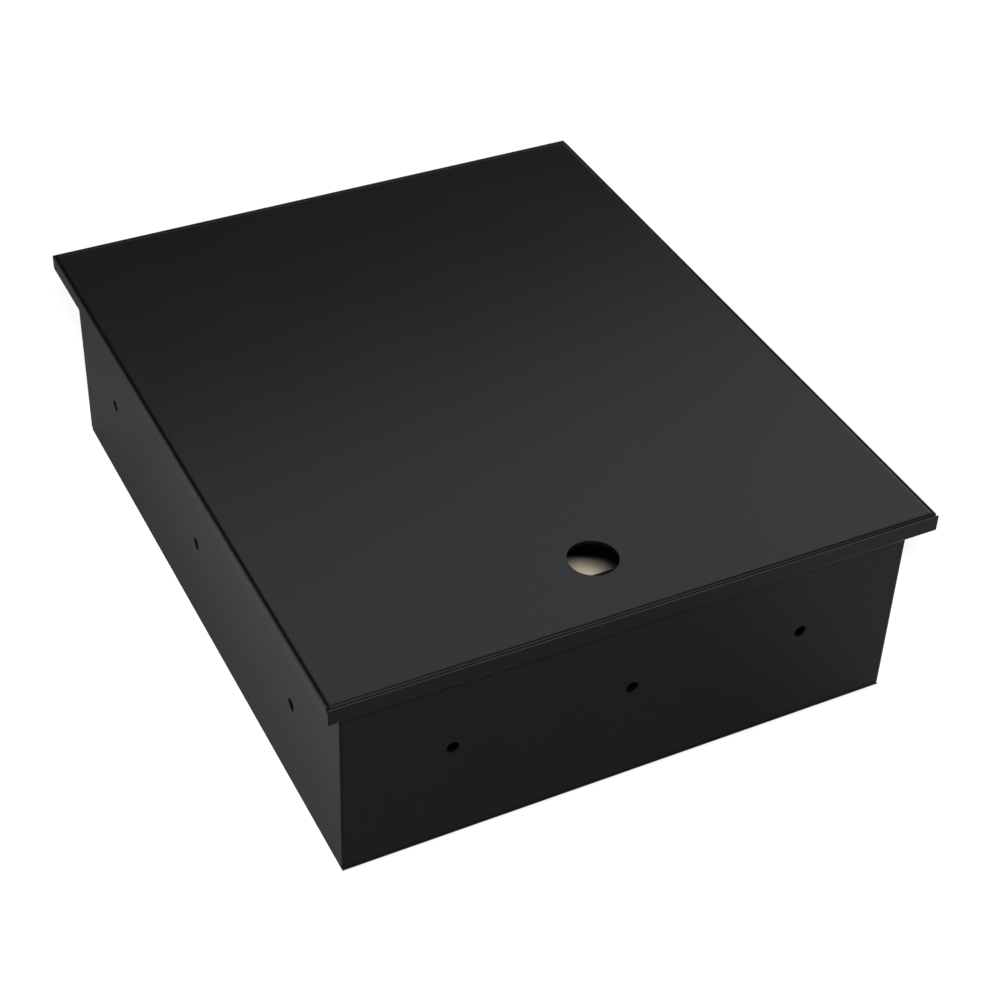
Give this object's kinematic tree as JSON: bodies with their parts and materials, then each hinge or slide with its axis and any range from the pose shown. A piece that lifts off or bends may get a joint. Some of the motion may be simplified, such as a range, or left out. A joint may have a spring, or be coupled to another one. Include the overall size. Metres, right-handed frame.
{
  "type": "parcel drop box",
  "caption": "Flat flanged sheet-steel sleeve, open at the back, closed by a flush hinged door with a round lock hole near its free edge; fixing holes in the walls.",
  "frame": {"origin": "centre of the sleeve's open back, at the bottom of the bounding box, as the box lies on its back with the door up", "axes": "+Z out through the door's face; -Y towards the edge with the lock hole, +Y towards the hinges; +X to the right, seen from the lock edge"},
  "size_m": [0.41, 0.5, 0.1508],
  "materials": {
    "powder_coat": "satin black powder coat on sheet steel",
    "zinc_plate": "bright zinc-plated steel",
    "seal_foam": "black closed-cell rubber foam"
  },
  "bodies": {
    "sleeve": {"sleeve_wrap": "powder_coat", "rear_wall": "powder_coat", "seal_front": "seal_foam", "seal_left": "seal_foam", "seal_right": "seal_foam", "hinge_left_wall_leaf": "zinc_plate", "hinge_right_wall_leaf": "zinc_plate", "hinge_left_rivets": "zinc_plate", "hinge_right_rivets": "zinc_plate", "hinge_left_pin": "zinc_plate", "hinge_right_pin": "zinc_plate"},
    "door": {"door_panel": "powder_coat", "door_stiffener_left": "powder_coat", "door_stiffener_right": "powder_coat", "lock_plate": "powder_coat", "hinge_left_door_leaf": "zinc_plate", "hinge_right_door_leaf": "zinc_plate", "hinge_left_studs": "zinc_plate", "hinge_right_studs": "zinc_plate", "hinge_left_nuts": "zinc_plate", "hinge_right_nuts": "zinc_plate"}
  },
  "joints": [
    {"name": "door_hinge", "type": "hinge", "parent": "sleeve", "child": "door", "pos_m": [0, 0.24037, 0.147], "axis": [-1, 0, 0], "range_deg": [0, 105]}
  ]
}
